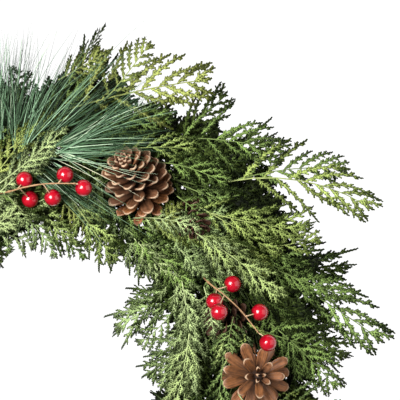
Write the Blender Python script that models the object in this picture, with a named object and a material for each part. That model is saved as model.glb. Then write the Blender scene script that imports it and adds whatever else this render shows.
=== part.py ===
"""A round evergreen wreath lying on its back: +Z is its face, +Y its top as hung, origin under its centre."""

import math

import bmesh
import bpy
from mathutils import Matrix, Vector

# Driving dimensions, in metres and radians.
RING_RADIUS = 0.152  # centre line of a 12 inch frame
RAIL_WIDTH = 0.007
RAIL_HEIGHT = 0.003
RAIL_BEVEL = 0.0008
RAIL_STEPS = 48
GAP = 0.0003  # air between neighbouring solids
SAME_POINT = 1e-6

BUNCH_COUNT = 10
PITCH = 2 * math.pi / BUNCH_COUNT
FIRST_ANGLE = math.radians(108)
STEM_BASE = 0.0058  # height at which a bunch's stems start
RISE = 0.024  # how far each bunch climbs over the next one in one pitch
SHINGLE_GAP = 0.0004
DOME = 0.010  # how far the face falls towards the rims
REACH_OUT = 0.085  # widest reach of a bunch outside the ring
REACH_IN = 0.077  # and inside it
STEM_HALF = 0.011  # half width of the tied stems
STEM_FLARE = 0.002  # by which they have widened at the second of a bunch's places
STEM_DEPTH = 0.015
BUNCH_PLACES = (0, 0.16, 0.6, 1.1, 1.5, 2.0)  # along a bunch, in pitches
BUNCH_SHARES = (0.68, 0.97, 1.0, 0.5)  # of its widest reach, at the last four of them
BUNCH_SWELL = (0.14, 0.42)  # between these it thickens from its stems to its full depth
BUNCH_THIN = 0.30  # share of its depth lost above and below at its rims

BACK_ANGLE = math.radians(50)  # lean of the back sprays from the ring's own direction
BACK_START = 0.30  # in pitches after the bunch's stems
BACK_TIP = 0.254  # overall radius of the wreath
BACK_HALF = 0.033
BACK_END = 0.45  # share of that half width left at the tip
BACK_PLACES = (0, 0.2, 0.6, 1)  # shares of its length
BACK_STEM = (0.005, 0.017)  # half widths at the first two of them
BACK_DEPTH = 0.0075
BACK_RIM = 0.55  # share of that depth left at its rims

HOOP_WIRE = 0.0011
STEM_SPREAD = 0.0010  # room that a hoop leaves for the stems as they fan out
HOOP_PLACE = 0.06  # in pitches
HOOP_CORNER = 0.005
HOOP_NECK = 0.0018  # half the way left between its ends

PINE_DEPTH = 0.014
PINE_THIN = 0.35  # share of it lost above and below at the rims
PINE_BUNCHES = (9, 6, 3)  # the bunch that each sprig lies on
PINE_START = 1.02  # where it starts along that bunch, in pitches
PINE_SPAN = 1.10
PINE_INNER = 0.002  # its middle line outside the ring's, at its twig
PINE_DRIFT = 0.025  # and how much further out at its tips
PINE_PLACES = (0, 0.35, 0.8, 1)  # shares of its span
PINE_HALVES = (0.007, 0.040, 0.062, 0.045)  # and its half widths there

BERRY_RADIUS = 0.007
TWIG_RADIUS = 0.0010
STALK_RADIUS = 0.0007
STALK_BACK = 0.006  # a stalk leaves the twig this far before its berry
STALK_BOW = 0.001
BERRY_AIR = 0.0015
TWIG_TAIL = 0.014  # how far a twig runs back into the greens
TAIL_DEPTH = 0.008  # and how deep it ends
TWIG_SHARES = (0.3, 0.6, 1.0)
TWIG_SWAY = 0.003
TWIG_LIFT = 0.006  # over the highest greens under its middle
TWIG_RISE = 0.003
NEAR_TURN = 0.06  # how far round and how far out the greens under a twig or a berry are felt for
NEAR_STEP = 0.008
TIE_WIRE = 0.0008
TIE_KNEE = 0.006  # straight run under the cone before the wire turns down to the rail

LOOP_WIRE = 0.0008
LOOP_HALF = 0.007
LOOP_REACH = 0.030
LOOP_KNEE = 0.6  # share of its straight run at which a leg starts to turn

CONE_FLAT = 0.93  # share of a cone's half length at which its stalk end is flat
CONE_TAPER = 0.16
CONE_BELLY = 0.05
SEAT_AIR = 0.0008  # a cone's seat is this much larger than the cone
WAY_AIR = 0.0006  # and a wire's or a twig's way this much wider than it
WAY_END = 0.002

# Each material: its colour, its roughness and how metallic it is.
LOOKS = {
    "cedar": ((0.13, 0.24, 0.07), 0.6, 0.0),
    "back cedar": ((0.05, 0.11, 0.04), 0.65, 0.0),
    "pine needles": ((0.17, 0.33, 0.24), 0.5, 0.0),
    "cone scales": ((0.27, 0.14, 0.08), 0.7, 0.0),
    "red berries": ((0.62, 0.01, 0.03), 0.15, 0.0),
    "green enamel": ((0.03, 0.10, 0.05), 0.4, 0.3),
    "dark wire": ((0.30, 0.19, 0.10), 0.5, 0.6),
}

# Each cone: its angle and radius on the wreath, how high its middle stands over the face, its
# half length and half width, and the direction of its tip as a tilt from +Z and a heading.
CONES = {
    "pine_cone_1": dict(angle=63.9, radius=0.1420, lift=0.010, size=(0.0335, 0.0315), tip=(36, 140)),
    "pine_cone_2": dict(angle=-10.3, radius=0.1621, lift=0.012, size=(0.031, 0.0285), tip=(8, 20)),
    "pine_cone_3": dict(angle=-85.0, radius=0.1480, lift=0.010, size=(0.031, 0.0280), tip=(38, 215)),
    "pine_cone_4": dict(angle=-158.0, radius=0.1540, lift=0.011, size=(0.032, 0.0285), tip=(25, 130)),
    "pine_cone_5": dict(angle=131.0, radius=0.1500, lift=0.010, size=(0.031, 0.0280), tip=(35, 185)),
    "pine_cone_6": dict(angle=42.0, radius=0.1460, lift=-0.008, size=(0.021, 0.0175), tip=(45, 300)),
    "pine_cone_7": dict(angle=7.0, radius=0.1350, lift=-0.008, size=(0.021, 0.0175), tip=(45, 180)),
    "pine_cone_8": dict(angle=-119.0, radius=0.1480, lift=-0.008, size=(0.021, 0.0175), tip=(45, 60)),
}

# Each berry sprig: where its twig starts and the way it runs (degrees), seen from the face.
# A berry is placed by how far along the twig it lies, how far to the left of it, and how much
# higher it stands than one lying on the greens.
SPRIG_LENGTH = 0.058
FANNED = ((0.0156, 0.0083, 0), (0.0175, -0.0078, 0), (0.0372, -0.0087, 0), (0.0493, 0.0084, 0),
          (0.0633, -0.0037, 0))
TRAILING = ((0.0151, 0.0132, 0), (0.0145, -0.0070, 0), (0.0226, -0.0100, 0.0118), (0.0468, 0.0129, 0),
            (0.0683, 0.0004, 0))
SPRIGS = {
    "berry_sprig_1": dict(angle=109.3, radius=0.1284, heading=6.4, berries=FANNED),
    "berry_sprig_2": dict(angle=21.5, radius=0.1304, heading=-45.3, berries=TRAILING),
    "berry_sprig_3": dict(angle=-50.0, radius=0.1300, heading=-153.8, berries=FANNED),
    "berry_sprig_4": dict(angle=-128.0, radius=0.1310, heading=165.2, berries=TRAILING),
    "berry_sprig_5": dict(angle=180.0, radius=0.1290, heading=76.2, berries=FANNED),
}


def material(name, colour, roughness, metallic):
    made = bpy.data.materials.new(name)
    made.use_nodes = True
    shader = made.node_tree.nodes["Principled BSDF"]
    shader.inputs["Base Color"].default_value = (*colour, 1)
    shader.inputs["Roughness"].default_value = roughness
    shader.inputs["Metallic"].default_value = metallic
    return made


def finish(name, bm, finish_material, smooth=False):
    """One named object from a bmesh, in flat triangles with their normals facing out."""
    bmesh.ops.recalc_face_normals(bm, faces=bm.faces)
    bmesh.ops.triangulate(bm, faces=bm.faces)
    if bm.calc_volume(signed=True) < 0:
        bmesh.ops.reverse_faces(bm, faces=bm.faces)
    mesh = bpy.data.meshes.new(name)
    bm.to_mesh(mesh)
    bm.free()
    if smooth:
        mesh.shade_smooth()
    made = bpy.data.objects.new(name, mesh)
    made.data.materials.append(finish_material)
    bpy.context.scene.collection.objects.link(made)
    return made


def helper(made):
    """A cutter or a shape to be joined: not a piece of its own."""
    made.hide_render = True
    made.display_type = "WIRE"
    return made


def boxes_meet(a, b):
    """Whether two objects' boxes touch, as they stand."""
    lows, highs = [], []
    for thing in (a, b):
        corners = [thing.matrix_world @ Vector(c) for c in thing.bound_box]
        lows.append([min(c[k] for c in corners) for k in range(3)])
        highs.append([max(c[k] for c in corners) for k in range(3)])
    return all(lows[0][k] <= highs[1][k] and lows[1][k] <= highs[0][k] for k in range(3))


def cut_seats(green, cutters):
    """Takes every cutter that reaches a piece out of it, in one Boolean."""
    reaching = [cutter for cutter in cutters if boxes_meet(green, cutter)]
    if not reaching:
        return
    seats = bpy.data.collections.new("seats in " + green.name)
    seats.hide_render = True
    bpy.context.scene.collection.children.link(seats)
    for cutter in reaching:
        seats.objects.link(cutter)
    modifier = green.modifiers.new("seats", "BOOLEAN")
    modifier.operation = "DIFFERENCE"
    modifier.solver = "EXACT"
    modifier.operand_type = "COLLECTION"
    modifier.collection = seats


def tube(bm, path, radius, sides):
    """A closed round bar along a path, drawn out from a circle one stretch at a time without twisting."""
    last = len(path) - 1
    ways = [(path[min(k + 1, last)] - path[max(k - 1, 0)]).normalized() for k in range(last + 1)]
    place = Matrix.Translation(path[0]) @ ways[0].to_track_quat("Z", "Y").to_matrix().to_4x4()
    rim = bmesh.ops.create_circle(bm, segments=sides, radius=radius, matrix=place)["verts"]
    edges = list({edge for corner in rim for edge in corner.link_edges})
    ends = list(edges)
    for k in range(1, last + 1):
        grown = bmesh.ops.extrude_edge_only(bm, edges=edges)["geom"]
        rim = [item for item in grown if isinstance(item, bmesh.types.BMVert)]
        edges = [item for item in grown if isinstance(item, bmesh.types.BMEdge)
                 and item.verts[0] in rim and item.verts[1] in rim]
        swing = ways[k - 1].rotation_difference(ways[k]).to_matrix().to_4x4()
        step = Matrix.Translation(path[k]) @ swing @ Matrix.Translation(-path[k - 1])
        bmesh.ops.transform(bm, matrix=step, verts=rim)
    bmesh.ops.holes_fill(bm, edges=ends + edges, sides=0)


def smooth_curve(points, per_stretch):
    """Points along a smooth curve through the given ones (Catmull-Rom)."""
    ends = [2 * points[0] - points[1], *points, 2 * points[-1] - points[-2]]
    out = []
    for k in range(1, len(ends) - 2):
        a, b, c, d = ends[k - 1 : k + 3]
        for step in range(per_stretch):
            t = step / per_stretch
            bend, twist = 2 * a - 5 * b + 4 * c - d, 3 * b - a - 3 * c + d
            out.append(0.5 * (2 * b + (c - a) * t + bend * t**2 + twist * t**3))
    return [*out, points[-1]]


def point_at(path, start, ahead, reach):
    """The point of a path that lies a given reach ahead of a start."""
    for near, far in zip(path, path[1:]):
        low, high = (near - start).dot(ahead), (far - start).dot(ahead)
        if low <= reach <= high:
            return near.lerp(far, (reach - low) / (high - low))
    return path[-1]


def between(value, places, amounts):
    """The amount at a value, on a smooth line through amounts given at places."""
    for k in range(len(places) - 1):
        if value <= places[k + 1]:
            t = max(0.0, (value - places[k]) / (places[k + 1] - places[k]))
            t = t * t * (3 - 2 * t)
            return amounts[k] + (amounts[k + 1] - amounts[k]) * t
    return amounts[-1]


def on_ring(angle, offset, height):
    radius = RING_RADIUS + offset
    return Vector((radius * math.cos(angle), radius * math.sin(angle), height))


# The bunches of cedar. Along a bunch u runs clockwise from 0 at its stems to 2 at its tips, in pitches,
# and each bunch lies on the one before it like a shingle. d is the distance outside the ring's line.


def bunch_angle(number):
    return FIRST_ANGLE - number * PITCH


def bunch_reach(u, widest):
    reaches = [STEM_HALF, STEM_HALF + STEM_FLARE] + [share * widest for share in BUNCH_SHARES]
    return between(u, BUNCH_PLACES, reaches)


def bunch_floor(u, d):
    return STEM_BASE + RISE * u - DOME * (d / REACH_OUT) ** 2


def bunch_top(u, d):
    full = bunch_floor(u + 1, d) - SHINGLE_GAP
    return between(u, BUNCH_SWELL, (bunch_floor(u, d) + STEM_DEPTH, full))


def pine_middle(along):
    return PINE_INNER + PINE_DRIFT * along


def pine_reach(along):
    return between(along, PINE_PLACES, PINE_HALVES)


def face_height(angle, radius):
    """Height of the greens' face at a place on the wreath."""
    d = radius - RING_RADIUS
    heights = [STEM_BASE]
    for number in PINE_BUNCHES:
        u = ((bunch_angle(number) - angle) % (2 * math.pi)) / PITCH
        along = (u - PINE_START) / PINE_SPAN
        if 0 <= along <= 1 and abs(d - pine_middle(along)) <= pine_reach(along):
            heights.append(bunch_floor(u + 1, d) + PINE_DEPTH)
    for number in range(BUNCH_COUNT):
        u = ((bunch_angle(number) - angle) % (2 * math.pi)) / PITCH
        if u <= 2 and -bunch_reach(u, REACH_IN) <= d <= bunch_reach(u, REACH_OUT):
            heights.append(bunch_top(u, d))
    return max(heights)


def slab(bm, long_steps, wide_steps, shape):
    """A closed slab from a grid: shape(along 0..1, across -1..1, up 0 or 1) gives each corner's place."""
    bmesh.ops.create_grid(bm, x_segments=long_steps, y_segments=wide_steps, size=1)
    sheet = bm.verts[:] + bm.edges[:] + bm.faces[:]
    grown = bmesh.ops.extrude_face_region(bm, geom=sheet, use_keep_orig=True)
    upper = [item for item in grown["geom"] if isinstance(item, bmesh.types.BMVert)]
    bmesh.ops.translate(bm, verts=upper, vec=(0, 0, 1))
    for corner in bm.verts:
        corner.co = shape((corner.co.x + 1) / 2, corner.co.y, corner.co.z)


def make_bunch(number, look):
    def shape(along, across, up):
        u = 2 * along
        d = across * (bunch_reach(u, REACH_OUT) if across > 0 else bunch_reach(u, REACH_IN))
        low, high = bunch_floor(u, d), bunch_top(u, d)
        thin = BUNCH_THIN * (high - low) * abs(across) ** 4
        height = high - thin if up > 0.5 else low + thin
        return on_ring(bunch_angle(number) - u * PITCH, d, height)

    bm = bmesh.new()
    slab(bm, 10, 6, shape)
    return finish(f"cedar_bunch_{number + 1:02d}", bm, look)


def make_back_spray(number, look):
    """A flat spray that leaves the rail behind the bunches and leans outwards."""
    end_half = BACK_END * BACK_HALF
    length = (BACK_TIP - RING_RADIUS - end_half * math.cos(BACK_ANGLE)) / math.sin(BACK_ANGLE)

    def shape(along, across, up):
        half = between(along, BACK_PLACES, (*BACK_STEM, BACK_HALF, end_half))
        forward, side = along * length, across * half
        s = forward * math.cos(BACK_ANGLE) - side * math.sin(BACK_ANGLE)
        d = forward * math.sin(BACK_ANGLE) + side * math.cos(BACK_ANGLE)
        depth = BACK_DEPTH * (1 - (1 - BACK_RIM) * abs(across) ** 3)
        height = RAIL_HEIGHT + GAP + up * depth
        return on_ring(bunch_angle(number) - BACK_START * PITCH - s / RING_RADIUS, d, height)

    bm = bmesh.new()
    slab(bm, 6, 4, shape)
    return finish(f"back_spray_{number + 1:02d}", bm, look)


def make_pine(number, look):
    """A fan of long needles lying on the face, a shingle above the bunch beneath it."""
    def shape(along, across, up):
        u = PINE_START + PINE_SPAN * along
        d = pine_middle(along) + across * pine_reach(along)
        low = bunch_floor(u + 1, d)
        thin = PINE_THIN * PINE_DEPTH * across**2
        height = low + PINE_DEPTH - thin if up > 0.5 else low + thin
        return on_ring(bunch_angle(PINE_BUNCHES[number]) - u * PITCH, d, height)

    bm = bmesh.new()
    slab(bm, 6, 4, shape)
    return finish(f"pine_sprig_{number + 1}", bm, look)


def make_ring(look):
    """The frame's rail: a flat bar with broken corners, spun into a ring. Its underside is flat."""
    bm = bmesh.new()
    corners = []
    for side_x, side_z in ((-1, -1), (1, -1), (1, 1), (-1, 1)):
        x, z = side_x * RAIL_WIDTH / 2, (side_z + 1) * RAIL_HEIGHT / 2
        near_x, near_z = (x - side_x * RAIL_BEVEL, z), (x, z - side_z * RAIL_BEVEL)
        corners += [near_z, near_x] if side_x * side_z > 0 else [near_x, near_z]
    section = bm.faces.new([bm.verts.new((RING_RADIUS + x, 0, z)) for x, z in corners])
    bmesh.ops.spin(bm, geom=section.verts[:] + section.edges[:], axis=(0, 0, 1), cent=(0, 0, 0),
                   angle=2 * math.pi, steps=RAIL_STEPS, use_merge=True)
    bmesh.ops.delete(bm, geom=[section], context="FACES_ONLY")
    bmesh.ops.remove_doubles(bm, verts=bm.verts, dist=SAME_POINT)
    return finish("ring_frame", bm, look)


def make_hoop(number, look):
    """A prong of the frame, bent over the stems of one bunch until its ends nearly meet."""
    half = STEM_HALF + STEM_SPREAD + GAP + HOOP_WIRE
    low = RAIL_HEIGHT + GAP + HOOP_WIRE
    high = STEM_BASE + RISE * HOOP_PLACE + STEM_DEPTH + STEM_SPREAD + GAP + HOOP_WIRE
    near = half - HOOP_CORNER
    halfway = HOOP_CORNER * math.sqrt(0.5)
    route = [(HOOP_NECK, high), (near, high)]
    route.append((near + halfway, high - HOOP_CORNER + halfway))
    route += [(half, high - HOOP_CORNER), (half, low + HOOP_CORNER)]
    route.append((near + halfway, low + HOOP_CORNER - halfway))
    route.append((near, low))
    route += [(-x, z) for x, z in reversed(route)]
    angle = bunch_angle(number) - HOOP_PLACE * PITCH
    bm = bmesh.new()
    tube(bm, [on_ring(angle, x, z) for x, z in route], HOOP_WIRE, 6)
    return finish(f"ring_clamp_{number + 1:02d}", bm, look, smooth=True)


def make_loop(look):
    """The hanging loop: a wire eye behind the top of the ring, its ends against the rail."""
    start = RAIL_WIDTH / 2 + GAP
    height = LOOP_WIRE + GAP
    straight = LOOP_REACH - LOOP_HALF
    turn = [(LOOP_HALF * math.cos(t), straight + LOOP_HALF * math.sin(t))
            for t in [math.pi * k / 8 for k in range(9)]]
    knee = LOOP_KNEE * straight
    route = [(LOOP_HALF, start), (LOOP_HALF, knee), *turn, (-LOOP_HALF, knee), (-LOOP_HALF, start)]
    bm = bmesh.new()
    tube(bm, [Vector((x, RING_RADIUS + y, height)) for x, y in route], LOOP_WIRE, 8)
    return finish("hanging_loop", bm, look, smooth=True)


def cone_shape(half_length, half_width):
    """An egg with its blunt end at -Z, cut flat there where the stalk was."""
    bm = bmesh.new()
    bmesh.ops.create_uvsphere(bm, u_segments=12, v_segments=8, radius=1)
    for corner in bm.verts:
        z = corner.co.z
        belly = 1 - CONE_TAPER * z - CONE_BELLY * z * z
        corner.co = Vector((corner.co.x * belly * half_width, corner.co.y * belly * half_width,
                            max(z, -CONE_FLAT) * half_length))
    return bm


def cone_place(facts):
    """Where a cone sits and the way its tip points."""
    angle, radius = math.radians(facts["angle"]), facts["radius"]
    tilt, heading = (math.radians(value) for value in facts["tip"])
    middle = Vector((radius * math.cos(angle), radius * math.sin(angle),
                     face_height(angle, radius) + facts["lift"]))
    tip = Vector((math.sin(tilt) * math.cos(heading), math.sin(tilt) * math.sin(heading), math.cos(tilt)))
    return middle, tip


def make_cone(name, facts, look):
    """A cone, and the cutter that seats it in the greens."""
    half_length, half_width = facts["size"]
    middle, tip = cone_place(facts)
    turn = tip.to_track_quat("Z", "Y")
    cone = finish(name, cone_shape(half_length, half_width), look, smooth=True)
    seat = helper(finish(name + "_seat", cone_shape(half_length + SEAT_AIR, half_width + SEAT_AIR), look))
    for thing in (cone, seat):
        thing.rotation_mode = "QUATERNION"
        thing.location, thing.rotation_quaternion = middle, turn
    return seat


def make_tie(name, facts, look):
    """The wire that holds a cone, from the cone's stalk end down to the rail, and the cutter for its way."""
    middle, tip = cone_place(facts)
    top = middle - tip * (CONE_FLAT * facts["size"][0] + GAP)
    knee = top - tip * TIE_KNEE
    foot = on_ring(math.atan2(knee.y, knee.x), 0, RAIL_HEIGHT + GAP + TIE_WIRE)
    down = (foot - knee).normalized()
    wire, way = bmesh.new(), bmesh.new()
    tube(wire, [top, knee, foot], TIE_WIRE, 6)
    tube(way, [top + tip * WAY_END, top, knee, foot, foot + down * WAY_END], TIE_WIRE + WAY_AIR, 6)
    finish(name, wire, look)
    return helper(finish(name + "_way", way, look))


def sprig_routes(facts):
    """The twig's curve, and for each berry the curve of its stalk and the berry's middle."""
    angle, heading = math.radians(facts["angle"]), math.radians(facts["heading"])
    start = Vector((facts["radius"] * math.cos(angle), facts["radius"] * math.sin(angle), 0))
    ahead = Vector((math.cos(heading), math.sin(heading), 0))
    left = Vector((-ahead.y, ahead.x, 0))

    def raised(flat, lift):
        place_angle, radius = math.atan2(flat.y, flat.x), flat.length
        near = [face_height(place_angle + turn, radius + step) + lift
                for turn in (-NEAR_TURN, 0, NEAR_TURN) for step in (-NEAR_STEP, 0, NEAR_STEP)]
        for cone in CONES.values():
            middle = cone_place(cone)[0]
            reach, aside = cone["size"][0] + lift, (flat - middle).to_2d().length
            if aside < reach:
                near.append(middle.z + math.sqrt(reach**2 - aside**2))
        return Vector((flat.x, flat.y, max(near)))

    level = raised(start + ahead * SPRIG_LENGTH * 0.5, 0.0).z
    tail = start - ahead * TWIG_TAIL
    tail.z = face_height(math.atan2(tail.y, tail.x), tail.length) - TAIL_DEPTH
    twig = [tail, Vector((start.x, start.y, (tail.z + level) / 2))]
    for share in TWIG_SHARES:
        flat = start + ahead * SPRIG_LENGTH * share + left * TWIG_SWAY * math.sin(3 * share)
        twig.append(Vector((flat.x, flat.y, level + TWIG_LIFT + TWIG_RISE * share)))
    twig = smooth_curve(twig, 2)
    stalks = []
    for along, side, higher in facts["berries"]:
        leave = point_at(twig, start, ahead, along - STALK_BACK)
        berry = raised(start + ahead * along + left * side, BERRY_RADIUS + BERRY_AIR)
        berry.z += higher
        stalks.append(([leave, leave.lerp(berry, 0.5) + Vector((0, 0, STALK_BOW)), berry], berry))
    return twig, stalks


def make_sprig(name, facts, look):
    """A twig with its berries, joined into one solid, and the cutter for the twig's way into the greens."""
    twig, stalks = sprig_routes(facts)
    shapes = bpy.data.collections.new(name + "_shapes")
    shapes.hide_render = True
    bpy.context.scene.collection.children.link(shapes)
    bm = bmesh.new()
    tube(bm, twig, TWIG_RADIUS, 6)
    sprig = finish(name, bm, look, smooth=True)
    for number, (route, berry) in enumerate(stalks):
        stalk = bmesh.new()
        tube(stalk, route, STALK_RADIUS, 5)
        ball = bmesh.new()
        place = Matrix.Translation(berry)
        bmesh.ops.create_icosphere(ball, subdivisions=2, radius=BERRY_RADIUS, matrix=place)
        for suffix, shape in (("stalk", stalk), ("berry", ball)):
            made = helper(finish(f"{name}_{suffix}_{number}", shape, look))
            bpy.context.scene.collection.objects.unlink(made)
            shapes.objects.link(made)
    join = sprig.modifiers.new("berries and stalks", "BOOLEAN")
    join.operation = "UNION"
    join.operand_type = "COLLECTION"
    join.collection = shapes
    way = bmesh.new()
    tube(way, twig, TWIG_RADIUS + WAY_AIR, 6)
    return helper(finish(name + "_way", way, look))


def main():
    for thing in list(bpy.data.objects):
        bpy.data.objects.remove(thing)

    looks = {name: material(name, *facts) for name, facts in LOOKS.items()}
    enamel = looks["green enamel"]

    make_ring(enamel)
    make_loop(enamel)
    bunches = [make_bunch(number, looks["cedar"]) for number in range(BUNCH_COUNT)]
    backs = [make_back_spray(number, looks["back cedar"]) for number in range(BUNCH_COUNT)]
    pines = [make_pine(number, looks["pine needles"]) for number in range(len(PINE_BUNCHES))]
    for number in range(BUNCH_COUNT):
        make_hoop(number, enamel)
    cutters = []
    for name, facts in CONES.items():
        cutters.append(make_cone(name, facts, looks["cone scales"]))
        cutters.append(make_tie(name.replace("pine_cone", "cone_wire"), facts, looks["dark wire"]))
    cutters += [make_sprig(name, facts, looks["red berries"]) for name, facts in SPRIGS.items()]
    bpy.context.view_layer.update()
    for green in bunches + backs + pines:
        cut_seats(green, cutters)


main()
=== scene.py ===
import math

import bmesh
import bpy
import numpy as np
from mathutils import Matrix, Vector


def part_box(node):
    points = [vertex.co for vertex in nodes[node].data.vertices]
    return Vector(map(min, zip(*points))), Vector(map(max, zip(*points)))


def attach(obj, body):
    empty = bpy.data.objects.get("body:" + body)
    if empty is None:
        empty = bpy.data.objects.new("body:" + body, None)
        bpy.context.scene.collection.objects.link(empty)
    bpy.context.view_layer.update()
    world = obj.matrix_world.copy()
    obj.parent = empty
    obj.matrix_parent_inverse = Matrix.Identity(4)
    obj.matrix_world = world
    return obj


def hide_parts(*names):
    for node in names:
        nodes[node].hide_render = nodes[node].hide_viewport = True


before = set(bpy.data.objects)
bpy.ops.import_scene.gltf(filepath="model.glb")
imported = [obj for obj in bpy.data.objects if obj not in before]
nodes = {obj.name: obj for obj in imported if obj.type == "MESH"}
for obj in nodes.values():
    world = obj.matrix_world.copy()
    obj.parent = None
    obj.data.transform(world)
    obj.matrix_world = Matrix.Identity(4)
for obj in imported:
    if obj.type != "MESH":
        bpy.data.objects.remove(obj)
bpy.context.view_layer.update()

# the wreath's own measures, in metres; angles run from +X towards +Y, bunches are laid clockwise
wreath = {
    "ringRadius": 0.152,
    "bunches": 10,
    "firstAngle": 108.0,
    "stemBase": 0.0058,
    "rise": 0.024,
    "dome": 0.010,
    "reachOut": 0.085,
}
pitch = 2 * math.pi / wreath["bunches"]


def chance(name):
    # a steady source of random numbers for one piece
    return np.random.default_rng(sum((k + 1) * ord(c) for k, c in enumerate(name)))


def bunchAngle(number):
    return math.radians(wreath["firstAngle"]) - number * pitch


def shingle(u, d):
    # height of a bunch's underside, u pitches after its stems and d outside the ring
    return wreath["stemBase"] + wreath["rise"] * u - wreath["dome"] * (d / wreath["reachOut"]) ** 2


def faceHeight(x, y):
    # height of the greens' face at a place
    d = math.hypot(x, y) - wreath["ringRadius"]
    u = ((bunchAngle(0) - math.atan2(y, x)) % pitch) / pitch
    return shingle(u + 2, d)


# ---- shapes are held as arrays while thousands of copies are joined: v points, f triangles, c tone, painted light and marks

def shifted(x, y, z):
    return Matrix.Translation((x, y, z))


def turned(angle, axis):
    return Matrix.Rotation(angle, 4, axis)


def scaled(x, y=1, z=1):
    return Matrix.Diagonal((x, y, z, 1))


def chooser(source, table):
    # draws a number out of a span that a table names
    return lambda key: source.uniform(*table[key])


def shapeOf(bm):
    bmesh.ops.triangulate(bm, faces=bm.faces)
    bm.verts.index_update()
    v = np.array([p.co[:] for p in bm.verts], np.float32)
    f = np.array([[p.index for p in face.verts] for face in bm.faces], np.int32)
    bm.free()
    return {"v": v, "f": f, "c": np.zeros((len(v), 3), np.float32)}


def moved(shape, matrix):
    m = np.array(matrix, np.float32)
    return {"v": shape["v"] @ m[:3, :3].T + m[:3, 3], "f": shape["f"], "c": shape["c"].copy()}


def joined(shapes):
    offsets = np.cumsum([0] + [len(s["v"]) for s in shapes[:-1]])
    return {
        "v": np.concatenate([s["v"] for s in shapes]),
        "f": np.concatenate([s["f"] + o for s, o in zip(shapes, offsets)]),
        "c": np.concatenate([s["c"] for s in shapes]),
    }


def curved(shape, sideways, upwards):
    # bends a shape that runs along X: sideways in XY, then upwards in XZ, both as turns per metre
    v = shape["v"].astype(np.float64)
    for turn, axis in ((sideways, 1), (upwards, 2)):
        if abs(turn) > 1e-6:
            x, a = v[:, 0].copy(), v[:, axis].copy()
            v[:, 0] = np.sin(turn * x) / turn - a * np.sin(turn * x)
            v[:, axis] = (1 - np.cos(turn * x)) / turn + a * np.cos(turn * x)
    return {"v": v.astype(np.float32), "f": shape["f"], "c": shape["c"]}


def linked(name, data):
    thing = bpy.data.objects.new(name, data)
    bpy.context.scene.collection.objects.link(thing)
    return thing


def pieceFrom(shape, name, finish, node, smooth=False):
    # makes the piece that stands for a node
    mesh = bpy.data.meshes.new(name)
    count = len(shape["f"])
    mesh.vertices.add(len(shape["v"]))
    mesh.vertices.foreach_set("co", shape["v"].ravel())
    mesh.loops.add(count * 3)
    mesh.loops.foreach_set("vertex_index", shape["f"].ravel())
    mesh.polygons.add(count)
    mesh.polygons.foreach_set("loop_start", np.arange(0, count * 3, 3, dtype=np.int32))
    mesh.polygons.foreach_set("use_smooth", np.full(count, smooth))
    colour = mesh.attributes.new("toneAndPaintedLight", "FLOAT_COLOR", "POINT")
    amounts = np.c_[shape["c"], np.ones(len(shape["v"]))]
    colour.data.foreach_set("color", amounts.astype(np.float32).ravel())
    mesh.update()
    mesh.validate()
    mesh.materials.append(finishes[finish])
    piece = linked(name, mesh)
    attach(piece, "root")
    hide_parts(node)


# ---- materials

def nodeMaterial(name, roughness, **settings):
    material = bpy.data.materials.new(name)
    material.use_nodes = True
    tree = material.node_tree
    shader = tree.nodes["Principled BSDF"]
    shader.inputs["Roughness"].default_value = roughness
    for socket, value in settings.items():
        shader.inputs[socket.replace("_", " ")].default_value = value
    return material, tree, shader


def feed(tree, value, socket):
    # joins another node's output to a socket, or sets the socket to a number or colour
    if isinstance(value, bpy.types.NodeSocket):
        tree.links.new(value, socket)
    else:
        socket.default_value = value


def newNode(tree, kind, **values):
    # a shader node, with what feeds its inputs
    node = tree.nodes.new("ShaderNode" + kind)
    for name, value in values.items():
        feed(tree, value, node.inputs[name])
    return node


def ramp(tree, factor, stops):
    node = newNode(tree, "ValToRGB", Fac=factor)
    elements = node.color_ramp.elements
    while len(elements) > len(stops):
        elements.remove(elements[-1])
    while len(elements) < len(stops):
        elements.new(1.0)
    for element, (place, colour) in zip(elements, stops):
        element.position = place
        element.color = (*colour, 1)
    return node.outputs["Color"]


def mixColour(tree, factor, a, b):
    node = newNode(tree, "Mix")
    node.data_type = "RGBA"
    for index, value in ((0, factor), (6, a), (7, b)):
        feed(tree, value, node.inputs[index])
    return node.outputs[2]


def mapRange(tree, *values):
    # the value, the range it comes in and the range it leaves in
    node = newNode(tree, "MapRange")
    for index, value in enumerate(values):
        feed(tree, value, node.inputs[index])
    return node.outputs[0]


def mathNode(tree, operation, *values):
    node = newNode(tree, "Math")
    node.operation = operation
    for index, value in enumerate(values):
        feed(tree, value, node.inputs[index])
    return node.outputs[0]


def noiseAt(tree, scale, detail):
    place = newNode(tree, "TexCoord").outputs["Object"]
    return newNode(tree, "TexNoise", Scale=scale, Detail=detail, Vector=place).outputs["Fac"]


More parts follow.
